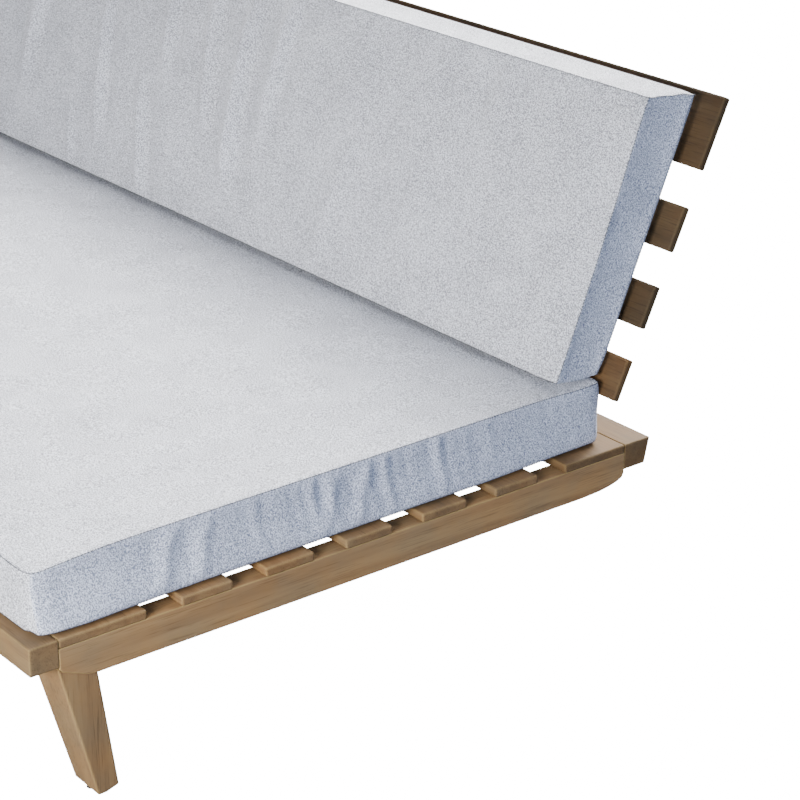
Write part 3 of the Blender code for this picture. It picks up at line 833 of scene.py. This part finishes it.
def rest_back(piece):
    press_rear(piece, back_corners, lambda points: np.ones(len(points)))
    points = coordinates(piece.data)
    points[:, 2] = np.maximum(points[:, 2], ceiling(points[:, 1]) + REST_GAP)
    set_coordinates(piece.data, points)


rest_back(back)
rest_seat(seat)
for piece in (seat, back):
    low, high = coordinates(piece.data).min(0), coordinates(piece.data).max(0)
    print(piece.name, "is", ((high - low) / MM).round(0), "mm")

# %% Seam grooves
GROOVE = 1.2 * MM


def seam_mask(place, broad_axis, corners):
    """Points on the seams round the two big panels, and on the strip's joins at corners."""
    at_limit = (place < 1e-4) | (place > 1 - 1e-4)
    mask = at_limit[:, broad_axis] & (at_limit.sum(1) >= 2)
    for u_side, w_side in corners:
        mask |= ((np.abs(place[:, 0] - u_side) < 1e-4) & (np.abs(place[:, 2] - w_side) < 1e-4))
    return mask


def sink_seams(piece, mask):
    mesh = piece.data
    normals = np.zeros(len(mesh.vertices) * 3, np.float32)
    mesh.vertices.foreach_get("normal", normals)
    points = coordinates(mesh)
    points[mask] -= GROOVE * normals.reshape(-1, 3)[mask]
    set_coordinates(mesh, points)


seat_seams = seam_mask(box_places(seat.data), 2, ())
back_seams = seam_mask(box_places(back.data), 1, ((0, 1), (1, 1)))
sink_seams(seat, seat_seams)
sink_seams(back, back_seams)
print(int(seat_seams.sum()), "and", int(back_seams.sum()), "points on the seams")

# %% [markdown]
# ## Stitches
# A seam shows as a row of small dark dents, one for each stitch. Geometry Nodes walk along the
# seam lines and set a stitch at every pitch, turned to the line; the result is made a plain mesh.

# %% Stitch tree
STITCH_PITCH = 4.2 * MM
STITCH_LENGTH = 3.0 * MM
STITCH_RADIUS = 0.55 * MM

thread, _, thread_shader = surface("grey_polyester_thread", Roughness=0.7)
thread_shader.inputs["Base Color"].default_value = linear("#4a4b51")


def new_geometry_tree(name, sizes):
    tree = bpy.data.node_groups.new(name, "GeometryNodeTree")
    tree.interface.new_socket("Geometry", in_out="INPUT", socket_type="NodeSocketGeometry")
    for label in sizes:
        tree.interface.new_socket(label, in_out="INPUT", socket_type="NodeSocketFloat")
    tree.interface.new_socket("Geometry", in_out="OUTPUT", socket_type="NodeSocketGeometry")
    return tree, put(tree, "NodeGroupInput").outputs


def close_tree(tree, copies, material):
    """Every tree ends alike: real geometry, with its material, to the output."""
    real = put(tree, "GeometryNodeRealizeInstances", {"Geometry": copies}).outputs["Geometry"]
    clad = put(tree, "GeometryNodeSetMaterial", {"Geometry": real, "Material": material})
    put(tree, "NodeGroupOutput", {"Geometry": clad.outputs["Geometry"]})


stitch_tree, stitch_in = new_geometry_tree("stitch_row", ("Pitch", "Length", "Radius"))
line = put(stitch_tree, "GeometryNodeMeshToCurve", {"Mesh": stitch_in["Geometry"]})
walk = put(stitch_tree, "GeometryNodeResampleCurve",
           {"Curve": line.outputs["Curve"], "Length": stitch_in["Pitch"]}, mode="LENGTH")
stitch = put(stitch_tree, "GeometryNodeMeshCylinder",
             {"Vertices": 5, "Radius": stitch_in["Radius"], "Depth": stitch_in["Length"]})
way = put(stitch_tree, "GeometryNodeInputTangent")
aim = put(stitch_tree, "FunctionNodeAlignRotationToVector", {"Vector": way.outputs["Tangent"]},
          axis="Z")
rows = put(stitch_tree, "GeometryNodeInstanceOnPoints",
           {"Points": walk.outputs["Curve"], "Instance": stitch.outputs["Mesh"],
            "Rotation": aim.outputs["Rotation"]})
close_tree(stitch_tree, rows.outputs["Instances"], thread)


# %% Grow a tree's result into a plain mesh
def grow(name, guide_mesh, tree, values):
    """Runs a tree on a guide mesh and returns the result as a plain object."""
    guide = bpy.data.objects.new(name + "_guide", guide_mesh)
    bpy.context.scene.collection.objects.link(guide)
    modifier = guide.modifiers.new(tree.name, "NODES")
    modifier.node_group = tree
    for item in tree.interface.items_tree:
        if item.name in values:
            modifier[item.identifier] = values[item.name]
    depsgraph = bpy.context.evaluated_depsgraph_get()
    mesh = bpy.data.meshes.new_from_object(guide.evaluated_get(depsgraph))
    bpy.data.objects.remove(guide)
    piece = bpy.data.objects.new(name, mesh)
    bpy.context.scene.collection.objects.link(piece)
    print(name, len(mesh.polygons), "faces")
    return piece


def seam_lines(piece, mask, lift):
    """The seam edges of a cushion as a mesh of lines, lifted off the cloth."""
    mesh = piece.data
    normals = np.zeros(len(mesh.vertices) * 3, np.float32)
    mesh.vertices.foreach_get("normal", normals)
    points = coordinates(mesh) + lift * normals.reshape(-1, 3)
    place = box_places(mesh)
    limit = (place < 1e-4) | (place > 1 - 1e-4)
    number = -np.ones(len(points), int)
    number[mask] = np.arange(mask.sum())
    lines = []
    for edge in mesh.edges:
        a, b = edge.vertices
        if mask[a] and mask[b] and (limit[a] & limit[b]).sum() >= 2:
            lines.append((int(number[a]), int(number[b])))
    guide = bpy.data.meshes.new(piece.name + "_seam_lines")
    guide.from_pydata(points[mask].tolist(), lines, [])
    return guide


STITCH_SIZES = {"Pitch": STITCH_PITCH, "Length": STITCH_LENGTH, "Radius": STITCH_RADIUS}
seat_stitches = grow("seat_cushion_stitches", seam_lines(seat, seat_seams, 0.1 * MM),
                     stitch_tree, STITCH_SIZES)
back_stitches = grow("back_cushion_stitches", seam_lines(back, back_seams, 0.1 * MM),
                     stitch_tree, STITCH_SIZES)

# %% [markdown]
# ## Screws
# Two screws hold each back slat to each upright, driven in from behind, and two hold each seat
# slat down on each bearer, where the cushion hides them. A screw head is a turned disc with a
# round recess, set on points by Geometry Nodes.

# %% Screw head and its places
HEAD_RADIUS = 4.0 * MM
HEAD_HEIGHT = 0.9 * MM
SCREW_SPREAD = 0.27         # of the slat's width, either side of its middle


def screw_head():
    """A low domed head with a round recess, lying on XY."""
    shape = bmesh.new()
    bmesh.ops.create_cone(shape, cap_ends=True, segments=16, radius1=HEAD_RADIUS,
                          radius2=HEAD_RADIUS * 0.72, depth=HEAD_HEIGHT)
    top = max(shape.faces, key=lambda f: f.calc_center_median().z)
    bmesh.ops.inset_region(shape, faces=[top], thickness=HEAD_RADIUS * 0.34)
    for vert in top.verts:
        vert.co.z -= HEAD_HEIGHT * 0.8
    mesh = bpy.data.meshes.new("screw_head")
    shape.to_mesh(mesh)
    shape.free()
    mesh.materials.append(zinc_plate)
    return bpy.data.objects.new("screw_head", mesh)


def scatter_tree(name, pattern, material):
    """Sets the pattern on every point of a mesh, standing along the point's own facing."""
    tree, given = new_geometry_tree(name, ("Scale",))
    shape = put(tree, "GeometryNodeObjectInfo", {"Object": pattern})
    dots = put(tree, "GeometryNodeMeshToPoints", {"Mesh": given["Geometry"]})
    facing = put(tree, "GeometryNodeInputNamedAttribute", {"Name": "facing"},
                 data_type="FLOAT_VECTOR")
    stand = put(tree, "FunctionNodeAlignRotationToVector",
                {"Vector": facing.outputs["Attribute"]}, axis="Z")
    copies = put(tree, "GeometryNodeInstanceOnPoints",
                 {"Points": dots.outputs["Points"], "Instance": shape.outputs["Geometry"],
                  "Rotation": stand.outputs["Rotation"], "Scale": given["Scale"]})
    close_tree(tree, copies.outputs["Instances"], material)
    return tree


def scatter_guide(name, places, ways):
    guide = bpy.data.meshes.new(name)
    guide.from_pydata(places, [], [])
    guide.attributes.new("facing", "FLOAT_VECTOR", "POINT").data.foreach_set(
        "vector", np.array(ways, np.float32).ravel())
    return guide


def screw_places():
    """Where every screw head sits, and which way it faces."""
    places, ways = [], []
    behind = Vector((0, LEAN[2], -LEAN[1])).normalized()
    up_slope = Vector(LEAN).normalized()
    for slat_name in sorted(n for n in nodes if n.startswith("back_slat")):
        low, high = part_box(slat_name)
        middle = (low + high) / 2
        width = (high.z - low.z) / LEAN[2]
        for stile_name in sorted(n for n in nodes if n.startswith("back_stile")):
            stile_low, stile_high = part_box(stile_name)
            points = np.array([v.co for v in nodes[stile_name].data.vertices])
            reach = ((points - np.array(middle)) @ np.array(behind)).max()
            top = stile_high.z - 0.012
            for side in (-1, 1):
                spot = middle + up_slope * side * SCREW_SPREAD * width
                spot += behind * (reach + HEAD_HEIGHT * 0.4)
                if spot.z < top:
                    spot.x = (stile_low.x + stile_high.x) / 2
                    places.append(tuple(spot))
                    ways.append(tuple(behind))
    for slat_name in sorted(n for n in nodes if n.startswith("seat_slat")):
        low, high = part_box(slat_name)
        for bearer in ("bearer_left", "bearer_centre", "bearer_right"):
            bearer_low, bearer_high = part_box(bearer)
            for side in (-1, 1):
                y = (low.y + high.y) / 2 + side * SCREW_SPREAD * (high.y - low.y)
                z = high.z - HEAD_HEIGHT * 0.42
                places.append(((bearer_low.x + bearer_high.x) / 2, y, z))
                ways.append((0.0, 0.0, 1.0))
    return places, ways


screw_tree = scatter_tree("screws", screw_head(), zinc_plate)
screws = grow("frame_screws", scatter_guide("screw_places", *screw_places()), screw_tree,
              {"Scale": 1.0})

# %% [markdown]
# ## Zips
# Each cover closes with a nylon zip in the middle of its rear strip. The tape is a narrow woven
# ribbon. Its two rows of teeth are moulded blocks that lie between one another, drawn one block
# for each tooth and kept low, so that the slider passes over them.

# %% Zip tape and teeth
TAPE_RIB = 1.2 * MM
TOOTH_PITCH = 3.0 * MM
TOOTH_SIZE = (1.3 * MM, 2.6 * MM, 0.4 * MM)
ROW_OFFSET = 0.7 * MM

zip_tape, tape_tree, tape_shader = surface("woven_zip_tape", Roughness=0.85)
tape_place = put(tape_tree, "ShaderNodeTexCoord").outputs["Object"]
ribs = put(tape_tree, "ShaderNodeTexWave", {"Vector": tape_place, "Scale": 0.314 / TAPE_RIB,
                                            "Distortion": 0.4, "Detail": 1.0})
ribbed = put(tape_tree, "ShaderNodeValToRGB", {"Fac": ribs.outputs["Fac"]},
             [(0.2, linear("#74757b")), (0.8, linear("#9b9ca3"))])
tape_tree.links.new(ribbed.outputs["Color"], tape_shader.inputs["Base Color"])
teeth_nylon, teeth_nodes, teeth_shader = surface("moulded_grey_nylon", IOR=1.53)
teeth_shader.inputs["Base Color"].default_value = linear("#808187")
teeth_nodes.links.new(cloudy(teeth_nodes, 3 * MM, 0.35, 0.5), teeth_shader.inputs["Roughness"])


def tooth():
    shape = bmesh.new()
    bmesh.ops.create_cube(shape, size=1.0)
    bmesh.ops.scale(shape, vec=TOOTH_SIZE, verts=shape.verts)
    mesh = bpy.data.meshes.new("tooth")
    shape.to_mesh(mesh)
    shape.free()
    return bpy.data.objects.new("tooth", mesh)


def tooth_places(strip):
    """Two rows half a pitch apart on the strip's outer face, which leans like the cover."""
    points = np.array([v.co for v in nodes[strip].data.vertices])
    upper, lower = points[points[:, 1].argmax()], points[points[:, 2].argmin()]
    along = (upper - lower) * (0, 1, 1)
    along /= np.linalg.norm(along)
    outwards = np.array((0, along[2], -along[1]))
    middle = (upper + lower) / 2
    count = int((points[:, 0].max() - points[:, 0].min()) / TOOTH_PITCH) - 1
    places = []
    for row in (-1, 1):
        for n in range(count):
            spot = middle + row * ROW_OFFSET * along
            spot[0] = (n - (count - 1) / 2 + row / 4) * TOOTH_PITCH
            places.append(tuple(spot))
    return places, [tuple(outwards)] * len(places)


teeth_tree = scatter_tree("zip_teeth", tooth(), teeth_nylon)
teeth = {}
for body in ("seat_cushion", "back_cushion"):
    strip = body + "_zip"
    nodes[strip].data.materials.clear()
    nodes[strip].data.materials.append(zip_tape)
    teeth[body] = grow(body + "_zip_teeth", scatter_guide(strip + "_places",
                                                          *tooth_places(strip)),
                       teeth_tree, {"Scale": 1.0})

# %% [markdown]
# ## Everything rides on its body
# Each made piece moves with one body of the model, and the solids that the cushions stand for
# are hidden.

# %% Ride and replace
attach(seat, "seat_cushion")
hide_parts("seat_cushion_cover", "seat_cushion_foam")
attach(seat_stitches, "seat_cushion")

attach(back, "back_cushion")
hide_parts("back_cushion_cover", "back_cushion_foam")
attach(back_stitches, "back_cushion")

for body, rows in teeth.items():
    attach(rows, body)
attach(screws, "frame")
